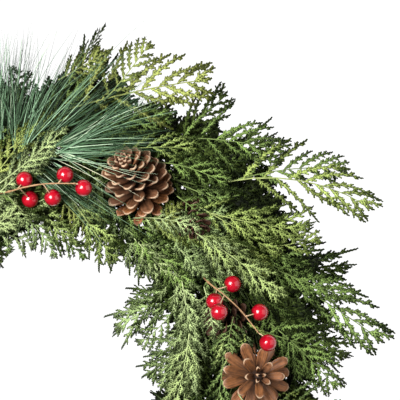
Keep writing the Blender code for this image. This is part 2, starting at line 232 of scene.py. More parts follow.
def makeMottleGroup():
    # uneven growth: a colour that wanders between a darker and a lighter value of itself, and a fine height
    group = bpy.data.node_groups.new("unevenGrowth", "ShaderNodeTree")
    group.interface.new_socket("Colour", in_out="INPUT", socket_type="NodeSocketColor")
    for name, value in (("Size", 200.0), ("Depth", 0.3)):
        socket = group.interface.new_socket(name, in_out="INPUT", socket_type="NodeSocketFloat")
        socket.default_value = value
    group.interface.new_socket("Colour", in_out="OUTPUT", socket_type="NodeSocketColor")
    group.interface.new_socket("Height", in_out="OUTPUT", socket_type="NodeSocketFloat")
    enter = group.nodes.new("NodeGroupInput")
    leave = group.nodes.new("NodeGroupOutput")
    noise = noiseAt(group, enter.outputs["Size"], 4)
    swing = mathNode(group, "MULTIPLY", mathNode(group, "SUBTRACT", noise, 0.5), 3.0)
    share = mathNode(group, "MULTIPLY_ADD", swing, enter.outputs["Depth"], 1.0)
    shade = newNode(group, "VectorMath")
    shade.operation = "SCALE"
    for value, socket in ((enter.outputs["Colour"], shade.inputs[0]), (share, shade.inputs["Scale"]),
                          (shade.outputs[0], leave.inputs["Colour"]), (noise, leave.inputs["Height"])):
        group.links.new(value, socket)
    return group


mottleGroup = makeMottleGroup()


def mottled(tree, colour, size, depth):
    node = newNode(tree, "Group")
    node.node_tree = mottleGroup
    for name, value in (("Size", size), ("Depth", depth), ("Colour", colour)):
        feed(tree, value, node.inputs[name])
    return node.outputs["Colour"], node.outputs["Height"]


def grownSurface(tree, shader, colour, look, relief=None):
    # how each finish ends: uneven colour, roughness that wanders with it, and a fine relief
    shade, height = mottled(tree, colour, *look["mottle"])
    tree.links.new(shade, shader.inputs["Base Color"])
    tree.links.new(mapRange(tree, height, 0.3, 0.7, *look["roughness"]), shader.inputs["Roughness"])
    strength, distance = look["bump"]
    height = relief or noiseAt(tree, *look["grain"])
    node = newNode(tree, "Bump", Strength=strength, Distance=distance, Height=height)
    tree.links.new(node.outputs["Normal"], shader.inputs["Normal"])


def toneAndPaintedLight(tree):
    # the three amounts stored in a piece, which each finish reads in its own way: a tone; the painted light
    # and shade of greens and berries, or the place along a cone scale; a mark such as wood, a berry's eye or
    # the place across a scale
    attribute = newNode(tree, "Attribute")
    attribute.attribute_name = "toneAndPaintedLight"
    split = newNode(tree, "SeparateColor", Color=attribute.outputs["Color"])
    return split.outputs["Red"], split.outputs["Green"], split.outputs["Blue"]


# in each look: mottle is its noise scale and depth, roughness its range, grain the relief's noise scale and
# detail, bump its strength and depth; colours go by the tone stored in a piece
# dark and deep are painted shade: near-black greens for the fronds lying under the others and behind
cedarTones = {
    "dark": 0.0, "deep": 0.2, "mid": 0.4, "grey": 0.55, "pale": 0.65, "bright": 0.8, "golden": 0.97,
}
cedarLook = {
    "mottle": (220.0, 0.5),
    "roughness": (0.42, 0.62),
    "grain": (1400.0, 2.0),
    "bump": (0.35, 0.0004),
    "tips": (0.25, 0.93),  # where along a twig, by its stored amount of painted light, its colour starts and ends turning from painted shade to painted light
    # inShade and inLight are painted shade and painted light: a dark and a lit copy of each tone
    "inShadeUnder": [(0.0, (0.002, 0.003, 0.001)), (0.2, (0.005, 0.008, 0.002))],
    "inShade": [(0.4, (0.005, 0.010, 0.001)), (0.55, (0.009, 0.016, 0.004)), (0.65, (0.015, 0.024, 0.005)),
                (0.8, (0.012, 0.021, 0.002)), (1.0, (0.026, 0.032, 0.004))],
    "inLightUnder": [(0.0, (0.022, 0.032, 0.007)), (0.2, (0.074, 0.108, 0.024))],
    "inLight": [(0.4, (0.272, 0.400, 0.110)), (0.55, (0.395, 0.520, 0.212)), (0.65, (0.530, 0.645, 0.295)),
                (0.8, (0.378, 0.482, 0.138)), (1.0, (0.425, 0.475, 0.138))],
    "stem": [(0.1, (0.03, 0.045, 0.015)), (0.5, (0.24, 0.30, 0.11)), (0.65, (0.48, 0.54, 0.27)),
             (0.95, (0.40, 0.45, 0.16))],
}


def makeCedar(name, under, gloss):
    # the painted shade and painted light of the greens underneath are lighter or darker by a factor
    material, tree, shader = nodeMaterial(name, 0.5, Specular_IOR_Level=gloss)
    tone, tip, wood = toneAndPaintedLight(tree)
    # a painted-shade ramp and a painted-light ramp of the same tones, mixed by the stored amount of painted
    # light
    shade, light = (
        ramp(tree, tone, [(at, [c * under for c in colour]) for at, colour in cedarLook[kind + "Under"]]
             + cedarLook[kind])
        for kind in ("inShade", "inLight"))
    grown = mixColour(tree, mapRange(tree, tip, *cedarLook["tips"], 0.0, 1.0), shade, light)
    grownSurface(tree, shader, mixColour(tree, wood, grown, ramp(tree, tone, cedarLook["stem"])), cedarLook)
    return material


needleLook = {
    "mottle": (90.0, 0.25),
    "roughness": (0.28, 0.45),
    "grain": (900.0, 2.0),
    "bump": (0.2, 0.0003),
    "tones": [
        (0.0, (0.005, 0.012, 0.004)), (0.25, (0.024, 0.052, 0.022)), (0.5, (0.078, 0.150, 0.078)),
        (0.72, (0.220, 0.345, 0.215)), (0.86, (0.460, 0.560, 0.390)), (0.92, (0.54, 0.52, 0.36)),
        (1.0, (0.62, 0.56, 0.42)),
    ],
    "wood": (0.10, 0.06, 0.03, 1),
}


def makeNeedles():
    material, tree, shader = nodeMaterial("pineNeedles", 0.4, Specular_IOR_Level=0.25)
    tone, _, wood = toneAndPaintedLight(tree)
    green = ramp(tree, tone, needleLook["tones"])
    grownSurface(tree, shader, mixColour(tree, wood, green, needleLook["wood"]), needleLook)
    return material


coneLook = {
    "mottle": (380.0, 0.35),
    "roughness": (0.45, 0.75),
    "bump": (0.6, 0.0005),
    # the lowest tones and the dark rims are painted shade, for the cones that lie deep in the greens
    "tones": [
        (0.0, (0.035, 0.014, 0.008)), (0.25, (0.080, 0.036, 0.019)), (0.5, (0.156, 0.066, 0.029)),
        (0.68, (0.178, 0.066, 0.018)), (1.0, (0.360, 0.130, 0.055)),
    ],
    "grooves": (16, 2.5, 60),  # how fast they change across a scale, along it, and from scale to scale
    "grooved": (0.38, 0.60, 0.8, 0.0),  # the noise that makes a groove, and how much its colour covers
    "groove": (0.062, 0.025, 0.011, 1),
    "rims": [(0.18, (0.05, 0.022, 0.012)), (0.4, (0.44, 0.31, 0.20))],
    "rimmed": (0.90, 1.0, 0.0, 0.72),  # from where to where the rim is, and how much its colour covers
    "footShade": (0.05, 0.42, 0.9, 0.0),  # the same for the painted shade at the foot of a scale, where the scale above covers it
    "foot": (0.020, 0.010, 0.006, 1),
}


def makeConeWood():
    material, tree, shader = nodeMaterial("coneScales", 0.6, Specular_IOR_Level=0.3)
    tone, rim, across = toneAndPaintedLight(tree)
    # fine grooves run along each scale
    x, y, z = (mapRange(tree, value, 0, 1, 0, much)
               for value, much in zip((across, rim, tone), coneLook["grooves"]))
    grain = newNode(tree, "CombineXYZ", X=x, Y=y, Z=z).outputs[0]
    lines = newNode(tree, "TexNoise", Scale=1.0, Detail=3, Vector=grain).outputs["Fac"]
    colour = ramp(tree, tone, coneLook["tones"])
    # grooves, the rim, and painted shade at the foot of each scale
    for value, key, cover in ((lines, "grooved", coneLook["groove"]),
                              (rim, "rimmed", ramp(tree, tone, coneLook["rims"])),
                              (rim, "footShade", coneLook["foot"])):
        colour = mixColour(tree, mapRange(tree, value, *coneLook[key]), colour, cover)
    grownSurface(tree, shader, colour, coneLook, lines)
    return material


berryLook = {
    "mottle": (160.0, 0.12),
    # painted light and shade: lightest red on its top, where the lamps fall, darkest round its waist, a
    # little lighter underneath
    "heights": [(0.0, (0.12, 0.0, 0.005)), (0.5, (0.060, 0.0, 0.004)), (0.68, (0.21, 0.0, 0.007)),
                (1.0, (0.33, 0.0, 0.009))],
    "eye": (0.03, 0.008, 0.006, 1),
}


def makeBerrySkin():
    material, tree, shader = nodeMaterial("berrySkin", 0.25, Specular_IOR_Level=0.2, Coat_Weight=0.7,
                                          Coat_Roughness=0.10)
    _, high, eye = toneAndPaintedLight(tree)
    # the stored height on the berry sets its painted light and shade
    skin = mottled(tree, ramp(tree, high, berryLook["heights"]), *berryLook["mottle"])[0]
    tree.links.new(mixColour(tree, eye, skin, berryLook["eye"]), shader.inputs["Base Color"])
    return material


barkLook = {
    "mottle": (500.0, 0.4),
    "roughness": (0.45, 0.7),
    "grain": (1200.0, 3.0),
    "bump": (0.4, 0.0004),
    "tones": [(0.0, (0.08, 0.04, 0.02)), (0.5, (0.28, 0.160, 0.075)), (1.0, (0.46, 0.33, 0.20))],
}


def makeTwigBark():
    material, tree, shader = nodeMaterial("twigBark", 0.55, Specular_IOR_Level=0.4)
    grownSurface(tree, shader, ramp(tree, toneAndPaintedLight(tree)[0], barkLook["tones"]), barkLook)
    return material


enamelLook = {
    "mottle": (700.0, 0.2),
    "grain": (1500.0, 2.0),
    "bump": (0.15, 0.0003),
    "patches": (320.0, 6.0),  # noise of the worn patches, and the part of it that is worn
    "wear": (0.58, 0.66, 0.0, 0.8),
    "roughness": (-0.1, 0.12),  # about the finish's own
}


def makeEnamel(name, colour, wornColour, roughness):
    material, tree, shader = nodeMaterial(name, roughness, Specular_IOR_Level=0.5)
    patches = mapRange(tree, noiseAt(tree, *enamelLook["patches"]), *enamelLook["wear"])
    worn = mixColour(tree, patches, (*colour, 1), (*wornColour, 1))
    span = [roughness + more for more in enamelLook["roughness"]]
    grownSurface(tree, shader, worn, enamelLook | {"roughness": span})
    return material


finishes = {
    "cedar": makeCedar("cedarLeaf", 1.0, 0.05),
    "backCedar": makeCedar("backCedarLeaf", 1.2, 0.04),
    "needles": makeNeedles(),
    "cone": makeConeWood(),
    "berry": makeBerrySkin(),
    "bark": makeTwigBark(),
    "enamel": makeEnamel("frameEnamel", (0.010, 0.055, 0.022), (0.16, 0.15, 0.13), 0.38),
    "wire": makeEnamel("floristWire", (0.11, 0.060, 0.030), (0.22, 0.19, 0.16), 0.45),
}
print("materials made")


# ---- cedar

leafStrip = {
    "step": 0.00150,  # from one tooth to the next, which is on the other side
    "core": 0.00105,  # half widths between the teeth and at them
    "tooth": 0.00205,
    "lean": 0.0015,  # teeth point forward by this much
    "ridge": 0.0010,
    "ridges": (0.75, 1.1),  # the ridge's share of that height between the teeth and at them
    "lit": (0.75, 1.0, 0.6, 0.25),  # painted light on the ridge between and at the teeth, on a tooth, on the tip; the edges between the teeth get painted shade
    "edge": 0.0002,  # teeth stand this much up, and the edge between them this much down
    "tip": (0.0005, 0.0003),  # its tip stands past its end and up
    "outline": (0.6, 3.0, 0.35, 0.42, 0.52),  # width at the foot, its growth, where it stops, and its loss
    "coarsen": 0.85,  # coarser leaves are wider by this power
}


def toothedStrip(length, coarse):
    # a twig of scale leaves along X: three-sided, with a tooth to each side in turn, closed at both ends
    steps = max(2, round(length / (leafStrip["step"] * coarse)))
    foot, growing, widest, loss, whole = leafStrip["outline"]
    bm = bmesh.new()
    bmesh.ops.create_cone(bm, cap_ends=True, segments=3, radius1=1, radius2=1, depth=1)
    long = [e for e in bm.edges if abs(e.verts[0].co.z - e.verts[1].co.z) > 0.5]
    bmesh.ops.subdivide_edges(bm, edges=long, cuts=steps - 1)
    lit = bm.verts.layers.float.new("lit")
    for point in bm.verts:
        share = point.co.z + 0.5
        ring = round(share * steps)
        x, odd = share * length, ring % 2
        wide = (coarse ** leafStrip["coarsen"] * min(1.0, foot + growing * share)
                * (1 - loss * max(0.0, share - widest) ** 1.5 / whole))
        if ring == steps:
            past, up = leafStrip["tip"]
            point.co, point[lit] = (length + past, 0, up), leafStrip["lit"][3]
        elif point.co.y > 0.5:
            point.co = (x, 0, leafStrip["ridge"] * wide * leafStrip["ridges"][odd])
            point[lit] = leafStrip["lit"][odd]
        else:
            side = 1 if point.co.x > 0 else -1
            out = ring > 0 and (odd == 0) == (side > 0)
            half, up = leafStrip["tooth" if out else "core"], leafStrip["edge"]
            point.co = (x + leafStrip["lean"] * out * coarse, side * half * wide, up if out else -up)
            point[lit] = leafStrip["lit"][2] if out else 0.0
    bmesh.ops.remove_doubles(bm, verts=bm.verts, dist=1e-6)
    bmesh.ops.recalc_face_normals(bm, faces=bm.faces)
    amounts = np.array([point[lit] for point in bm.verts], np.float32)
    shape = shapeOf(bm)
    # painted light: lit ridge and teeth, painted shade on the edges between them, darker towards the strip's
    # end
    shape["c"][:, 1] = amounts * (1.0 - 0.5 * (shape["v"][:, 0] / length) ** 2)
    return shape


stripLengths = (3, 4, 5, 6, 7, 8, 10, 12, 14, 17, 20, 24, 28, 33, 38, 44, 50)
coarseLeaf = 2.1  # how much larger the leaves are that lie hidden under the others
strips = {
    (mm, coarse): toothedStrip(mm / 1000, coarse) for mm in stripLengths for coarse in (0.9, 1.0, coarseLeaf)
}


def nearestLength(lengths, length):
    return min(lengths, key=lambda mm: abs(mm / 1000 - length))


def stripOf(length, coarse):
    mm = nearestLength(stripLengths, length)
    return moved(strips[mm, coarse], scaled(length / (mm / 1000)))


branchlet = {
    "first": 0.0042,  # where its first twig stands
    "share": 0.46,  # a twig's length, as a share of what is left of the branch
    "least": 0.0012,  # what is added to that
    "size": (0.7, 1.15),  # the pairs are spans to choose from: shares, degrees, turns per metre, metres
    "turn": (27, 37), "tilt": (-3, 12), "roll": (-30, 30),
    "bow": (0, 26), "droop": (0, 14),
    "lift": (-0.0004, 0.0006),
    "gap": (0.8, 1.3),
    "endShade": 0.55,  # how much darker its end is, as painted shade
}


def makeBranchlet(length, source, coarse, reach, step, until):
    # a side branch: a toothed axis with shorter twigs left and right, which shorten towards its tip
    parts, some = [stripOf(length, coarse)], chooser(source, branchlet)
    s, side = branchlet["first"], 1 if source.random() < 0.5 else -1
    while s < until * length:
        size = min(reach, branchlet["share"] * (length - s)) * some("size") + branchlet["least"]
        turn = turned(side * math.radians(some("turn")), "Z")
        tilt = turned(-math.radians(some("tilt")), "Y")
        roll = turned(math.radians(some("roll")), "X")
        shoot = curved(stripOf(size, coarse), -side * some("bow"), -some("droop"))
        parts.append(moved(shoot, shifted(s, 0, some("lift")) @ turn @ tilt @ roll))
        s += step * some("gap")
        side = -side
    branch = joined(parts)
    # painted shade towards the branchlet's end
    branch["c"][:, 1] *= 1.0 - branchlet["endShade"] * np.clip(branch["v"][:, 0] / length, 0, 1) ** 2
    return branch


branchLengths = (8, 12, 16, 20, 25, 30, 36, 43, 50)
habits = {  # leaf size, longest twigs, their spacing, and how far along a branch they grow
    "full": (1.0, 0.0090, 0.0052, 0.70),
    "spiky": (0.9, 0.0043, 0.0036, 0.86),
    "hidden": (coarseLeaf, 0.0125, 0.0062, 0.80),
}
branchlets = {
    (mm, habit, variant): makeBranchlet(mm / 1000, chance(f"branchlet{mm}{variant}"), *facts)
    for habit, facts in habits.items() for mm in branchLengths for variant in range(2)
}


def rodAlongX(length, thick, thin, sides, steps):
    bm = bmesh.new()
    bmesh.ops.create_cone(bm, cap_ends=True, segments=sides, radius1=thick, radius2=thin, depth=length,
                          matrix=shifted(length / 2, 0, 0) @ turned(math.pi / 2, "Y"))
    long = [e for e in bm.edges if abs(e.verts[0].co.x - e.verts[1].co.x) > length / 2]
    bmesh.ops.subdivide_edges(bm, edges=long, cuts=steps - 1)
    bmesh.ops.recalc_face_normals(bm, faces=bm.faces)
    return bm


frond = {
    "stem": (0.00065, 0.00036, 5, 6),  # radius at its foot and tip, sides and steps
    "stemWood": 0.45,
    # stemLight is the painted light of the stem, and light below is the span of painted light for each
    # branchlet
    "stemLight": 0.55,
    "until": 0.965,  # branchlets stop here, and the last one grows on from there
    "last": (16, 0.93),
    "outline": (0.80, 0.75, 1.42),  # a branchlet's length along the frond: at first, then growing, then less
    "least": 0.005,
    # spans to choose from for each branchlet, as in a branchlet
    "size": (0.72, 1.2), "lean": (-7, 7), "tilt": (-13, 15), "roll": (-26, 26),
    "bow": (2, 13), "droop": (-2, 8),
    "lift": (-0.001, 0.0006),
    "light": (0.75, 1.3),
    "gap": (0.6, 1.4),
}


def makeFrond(name, length, width, bare=0.14, spacing=0.0058, angle=(42, 24), habit="full"):
    # a flat spray: a stem with branchlets left and right, longest below its middle
    source = chance(name)
    some = chooser(source, frond)
    stem = shapeOf(rodAlongX(length, *frond["stem"]))
    stem["c"][:, 2] = frond["stemWood"] * (1.0 - np.clip(stem["v"][:, 0] / length, 0, 1))
    stem["c"][:, 1] = frond["stemLight"]
    parts = [stem]
    first, more, less = frond["outline"]
    s, side = bare * length, 1
    while s < length * frond["until"]:
        share = (s / length - bare) / (1 - bare)
        lean = angle[0] + (angle[1] - angle[0]) * share + some("lean")
        full = width / 2 / math.sin(math.radians(angle[0]))
        size = full * (first + more * share - less * share ** 2) * some("size") + frond["least"]
        mm = nearestLength(branchLengths, size)
        branch = branchlets[mm, habit, int(source.integers(2))]
        branch = curved(branch, -side * some("bow"), -some("droop"))
        branch = moved(branch, shifted(s, 0, some("lift")) @ turned(side * math.radians(lean), "Z")
                       @ turned(math.radians(some("tilt")), "Y") @ turned(math.radians(some("roll")), "X")
                       @ scaled(size / (mm / 1000)))
        # each branchlet lighter or darker in its painted light
        branch["c"][:, 1] = np.clip(branch["c"][:, 1] * some("light"), 0, 1)
        parts.append(branch)
        s += spacing * some("gap")
        side = -side
    mm, share = frond["last"]
    parts.append(moved(branchlets[mm, habit, 0], shifted(length * share, 0, 0)))
    return joined(parts)


def bareStem(length):
    stem = shapeOf(rodAlongX(length, 0.0016, 0.0009, 7, 6))
    stem["c"][:, 2] = 1.0
    return stem


frondKinds = {
    "broad": makeFrond("broad", 0.110, 0.066, spacing=0.0066, angle=(33, 17)),
    "broadB": makeFrond("broadB", 0.125, 0.060, spacing=0.0070, angle=(31, 16)),
    "spiky": makeFrond("spiky", 0.120, 0.084, bare=0.10, spacing=0.0086, angle=(47, 26), habit="spiky"),
    "wisp": makeFrond("wisp", 0.110, 0.052, bare=0.1, spacing=0.0080, angle=(38, 20), habit="spiky"),
    "long": makeFrond("long", 0.140, 0.048, bare=0.2, spacing=0.0070, angle=(28, 16)),
    "narrow": makeFrond("narrow", 0.105, 0.040, spacing=0.0062, angle=(34, 20), habit="spiky"),
    "fan": makeFrond("fan", 0.085, 0.060, bare=0.1, spacing=0.0058, angle=(40, 18)),
    "small": makeFrond("small", 0.060, 0.030, bare=0.1, spacing=0.0054),
    "stem": bareStem(0.070),
    "fillBroad": makeFrond("fillBroad", 0.105, 0.066, spacing=0.0062, habit="hidden"),
    "fillLong": makeFrond("fillLong", 0.130, 0.054, spacing=0.0068, habit="hidden"),
}
print("frond templates:", {name: len(shape["f"]) for name, shape in frondKinds.items()})


def layerHeight(x, y, layer):
    # 1 lies on the face of the greens, 0 a bunch's thickness under it
    return max(0.006, faceHeight(x, y) - (1 - layer) * wreath["rise"])


laying = {
    "arch": 1.6,  # turn of an arch from end to end, in radians, for a hump of 1
    "leastWidth": 0.8,  # a shortened frond keeps this much of its width, and its thickness stays in a span
    "thickness": (0.85, 1.2),
    "floor": 0.0012,
}


def layFrond(kind, x0, y0, x1, y1, low, high, tone, sway, roll, hump, spread=1.0):
    # lays a frond between two points; it arches up and comes down at the height of its end layer
    shape = frondKinds[kind]
    x0, y0, x1, y1 = (value / 1000 for value in (x0, y0, x1, y1))
    reach = math.hypot(x1 - x0, y1 - y0)
    low, high = layerHeight(x0, y0, low), layerHeight(x1, y1, high)
    chord = math.hypot(reach, high - low)
    bend, arch = math.radians(sway), hump * laying["arch"]
    length = chord * (1 + bend ** 2 / 24 + arch ** 2 / 24)
    size = length / shape["v"][:, 0].max()
    thinnest, thickest = laying["thickness"]
    wide, thick = spread * max(laying["leastWidth"], size), max(thinnest, min(thickest, size))
    shape = curved(moved(shape, scaled(size, wide, thick)), bend / length, -arch / length)
    laid = moved(shape, shifted(x0, y0, low) @ turned(math.atan2(y1 - y0, x1 - x0) - bend / 2, "Z")
                 @ turned(-(math.atan2(high - low, reach) + arch / 2), "Y") @ turned(math.radians(roll), "X"))
    laid["v"][:, 2] = np.maximum(laid["v"][:, 2], laying["floor"])
    laid["c"][:, 0] = tone
    return laid


# the greens on the face of each bunch: kind, start and end in millimetres, layers at start and end, tone,
# sway in degrees, and how much wider than usual
featured = {9: [
    ("narrow", -49, 128, 8, 176, 1.15, 1.35, "pale", 10),
    ("narrow", -58, 112, -2, 160, 1.25, 1.4, "pale", -8),
    ("wisp", -66, 118, -22, 178, 1.1, 1.3, "golden", 8),
    ("narrow", -72, 132, -44, 190, 1.0, 1.2, "mid", 8),
    ("narrow", -42, 118, -1, 68, 0.9, 0.75, "grey", -12),
    ("small", -20, 110, 15, 74, 0.95, 0.8, "bright", 0),
    ("long", -22, 126, 60, 100, 0.85, 0.85, "grey", -15),
    ("fan", 12, 112, 44, 58, 0.95, 0.7, "bright", -10),
    ("narrow", -30, 104, 22, 66, 0.75, 0.6, "mid", -8),
    ("narrow", -4, 118, 30, 84, 1.0, 1.0, "golden", -8),
    ("spiky", -46, 176, -34, 226, 0.3, 0.3, "deep", 6),
], 0: [
    ("spiky", 8, 190, 129, 219, 0.75, 0.8, "golden", -6, 1.3),
    ("wisp", 36, 196, 76, 245, 0.7, 0.75, "golden", 6),
    ("narrow", -2, 214, 41, 239, 0.5, 0.6, "golden", 4),
    ("narrow", -6, 205, 38, 261, 0.3, 0.3, "deep", 14, 0.45),
    ("spiky", 76, 146, 142, 206, 0.45, 0.55, "deep", 6),
    ("spiky", 92, 166, 190, 156, 0.6, 0.65, "mid", -14, 1.15),
    ("wisp", 70, 146, 140, 128, 0.95, 1.1, "mid", -34),
    ("small", 80, 94, 101, 113, 1.15, 1.3, "golden", 0),
    ("long", 58, 98, 136, 72, 1.1, 1.1, "bright", -42),
    ("broadB", 52, 92, 112, 40, 0.9, 0.85, "mid", -14),
    ("fan", 44, 92, 78, 50, 0.85, 0.7, "grey", -12),
    ("narrow", 60, 84, 100, 36, 1.0, 0.95, "pale", -10),
    ("broad", 78, 96, 138, 84, 0.95, 0.95, "grey", -18),
    ("spiky", 92, 132, 156, 112, 0.8, 0.8, "deep", -10),
    ("narrow", 96, 118, 132, 86, 1.35, 1.2, "mid", -14),
    ("narrow", 60, 100, 118, 92, 1.2, 1.2, "pale", -26),
], 1: [
    ("spiky", 138, 130, 262, 106, 0.85, 0.8, "bright", -44),
    ("wisp", 146, 132, 240, 140, 0.8, 0.75, "mid", -20),
    ("broad", 124, 104, 210, 92, 0.85, 0.8, "bright", 14),
    ("wisp", 140, 74, 216, 86, 0.9, 0.8, "bright", 16),
    ("broadB", 104, 92, 188, 34, 1.0, 0.9, "bright", -12),
    ("broad", 112, 88, 160, 40, 0.95, 0.9, "pale", -8),
    ("fan", 100, 96, 152, 96, 0.9, 0.95, "grey", -6),
    ("spiky", 152, 68, 274, -6, 0.7, 0.65, "mid", -10),
    ("wisp", 172, 60, 244, 34, 0.6, 0.5, "mid", 10),
    ("fan", 92, 60, 112, 2, 1.0, 0.9, "pale", -10),
    ("broad", 100, 46, 38, 10, 0.65, 0.3, "grey", -16),
    ("broadB", 104, 52, 54, 24, 0.35, 0.1, "mid", -16),
    ("wisp", 104, 36, 62, -6, 0.75, 0.4, "grey", -16),
    ("long", 100, 48, 110, -50, 1.25, 1.2, "pale", -12),
    ("wisp", 126, 84, 170, 50, 1.15, 1.1, "bright", -16),
    ("narrow", 118, 44, 128, 4, 1.5, 1.3, "pale", -6),
    ("small", 99, 74, 122, 50, 1.3, 1.4, "grey", 0),
    ("fillBroad", 96, 70, 124, 8, -0.3, -0.6, "dark", 0),
    ("fillBroad", 112, 80, 164, 34, -0.3, -0.6, "dark", 0),
], 2: [
    ("fan", 160, 0, 222, -18, 0.7, 0.7, "bright", -6),
    ("spiky", 172, 14, 230, -46, 0.6, 0.55, "mid", -14),
    ("wisp", 165, 8, 228, -12, 0.65, 0.65, "mid", 8),
    ("fan", 104, 4, 70, -34, 0.85, 0.5, "grey", -8),
    ("broadB", 112, 20, 84, -44, 0.9, 0.7, "pale", 8),
    ("narrow", 128, 28, 140, -40, 1.0, 1.0, "bright", -10),
    ("broad", 178, 22, 236, -22, 0.5, 0.45, "deep", -6),
    ("narrow", 142, 20, 136, -14, 1.4, 1.2, "mid", 8),
    ("broad", 106, 6, 92, -64, 1.15, 1.0, "pale", -10),
], 3: [
    ("spiky", 160, -40, 214, -106, 0.8, 0.75, "bright", -12),
    ("long", 150, -60, 186, -168, 0.75, 0.7, "golden", -10),
    ("broadB", 120, -52, 130, -134, 0.9, 0.9, "mid", -16),
    ("narrow", 98, -44, 60, -92, 0.8, 0.5, "grey", -12),
    ("fan", 132, -70, 150, -128, 1.0, 1.0, "pale", -10),
    ("spiky", 176, -48, 246, -76, 0.6, 0.6, "mid", -8),
    ("narrow", 106, -70, 96, -128, 0.95, 0.9, "grey", -8),
    ("wisp", 146, -44, 176, -96, 1.0, 0.95, "grey", -14),
]}
sameAs = {4: 0, 5: 2, 6: 1, 7: 3, 8: 1}  # the other bunches are laid like one of these

# greens under them: kind, pitches after the stems, outside the ring, heading out from clockwise in degrees,
# length, layers at start and end, tone
# their dark and deep tones are painted shade
fillPattern = [
    ("fillBroad", 0.20, 0.004, 26, 0.085, -1.1, -1.6, "dark"),
    ("fillBroad", 0.50, 0.000, 8, 0.085, -1.2, -1.7, "dark"),
    ("fillBroad", 0.30, -0.006, -26, 0.072, -1.0, -1.2, "dark"),
    ("fillBroad", 0.35, 0.010, 50, 0.062, -0.8, -1.2, "deep"),
    ("fillBroad", 0.75, 0.012, 40, 0.066, -0.9, -0.8, "deep"),
    ("fillLong", 0.60, -0.012, -22, 0.080, -0.7, -0.7, "deep"),
    ("fillBroad", 0.15, 0.010, 44, 0.070, 0.1, 0.0, "deep"),
    ("fillLong", 0.10, 0.004, 24, 0.098, 0.2, 0.1, "dark"),
    ("fillBroad", 0.40, 0.018, 28, 0.070, 0.4, 0.3, "deep"),
    ("fillLong", 0.15, 0.000, 2, 0.105, 0.3, 0.3, "dark"),
    ("fillBroad", 0.45, -0.004, -14, 0.085, 0.5, 0.4, "deep"),
    ("fillLong", 0.10, -0.006, -24, 0.092, 0.2, 0.1, "dark"),
    ("fillBroad", 0.15, -0.012, -44, 0.070, 0.1, 0.0, "deep"),
    ("fillBroad", 0.70, 0.010, 10, 0.085, 0.55, 0.5, "dark"),
    ("fillBroad", 0.65, 0.026, 24, 0.062, 0.3, 0.2, "dark"),
    ("fillBroad", 0.65, -0.022, -26, 0.066, 0.3, 0.2, "dark"),
    ("fillBroad", 0.90, -0.030, -34, 0.060, 0.4, 0.3, "deep"),
    ("fillBroad", 0.35, -0.028, -20, 0.066, 0.15, 0.1, "dark"),
    ("fillBroad", 0.20, 0.026, 48, 0.040, 0.2, 0.05, "dark"),
    ("fillBroad", 0.55, 0.028, 38, 0.042, 0.3, 0.15, "dark"),
    ("fillBroad", 0.95, 0.026, 40, 0.042, 0.45, 0.3, "dark"),
    ("fillBroad", 0.50, -0.034, -30, 0.046, 0.2, 0.1, "dark"),
    ("broad", 0.30, 0.016, 36, 0.076, 0.5, 0.4, "mid"),
    ("broadB", 0.55, 0.012, 16, 0.092, 0.75, 0.75, "mid"),
    ("broad", 0.35, 0.004, 4, 0.100, 0.7, 0.75, "deep"),
    ("broad", 0.60, -0.012, -12, 0.088, 0.8, 0.75, "grey"),
    ("broadB", 0.35, -0.010, -28, 0.084, 0.55, 0.45, "mid"),
    ("fan", 0.75, -0.022, -40, 0.060, 0.65, 0.5, "grey"),
    ("wisp", 0.80, 0.004, 8, 0.090, 0.95, 0.95, "bright"),
    ("wisp", 0.70, -0.018, -20, 0.080, 0.85, 0.8, "mid"),
]
# sprays behind: the same, with a height above the surface in place of the layers
backPattern = [
    ("broad", 0.30, 0.006, 50, 0.112, 0.010, "deep"),
    ("fillBroad", 0.62, 0.012, 60, 0.070, 0.013, "deep"),
    ("broadB", 0.80, 0.000, 30, 0.100, 0.018, "mid"),
]


def onBunch(number, u, d):
    angle = bunchAngle(number) - u * pitch
    radius = wreath["ringRadius"] + d
    return angle, radius * math.cos(angle) * 1000, radius * math.sin(angle) * 1000


def swung(x, y, turn):
    return x * math.cos(turn) - y * math.sin(turn), x * math.sin(turn) + y * math.cos(turn)


def toneOf(name, source):
    return float(np.clip(cedarTones[name] + source.uniform(-0.06, 0.06), 0, 1))


bunch = {
    # the cut ends of its stems, gathered under the hoop: start and end in pitches, how they fan out, layers
    "stemStart": (-0.14, 0.02, 0.0026), "stemEnd": (0.52, 0.011), "stemLayers": (-0.88, 0.14, -0.1),
    "stemTone": 0.4, "stemHump": 0.1,
    # spans to choose from for the greens of the pattern
    "along": (-0.08, 0.08), "out": (-0.005, 0.005), "heading": (-9, 9), "length": (0.9, 1.08),
    "sway": (-22, 6), "roll": (-14, 14), "hump": (0.1, 0.3),
    "faceRoll": (-10, 10), "faceHump": (0.2, 0.4),
    "loose": 6.0,  # a bunch that is laid like another differs from it by this many millimetres
    "held": (80, 250),  # and its fronds end no nearer the middle and no further from it
}


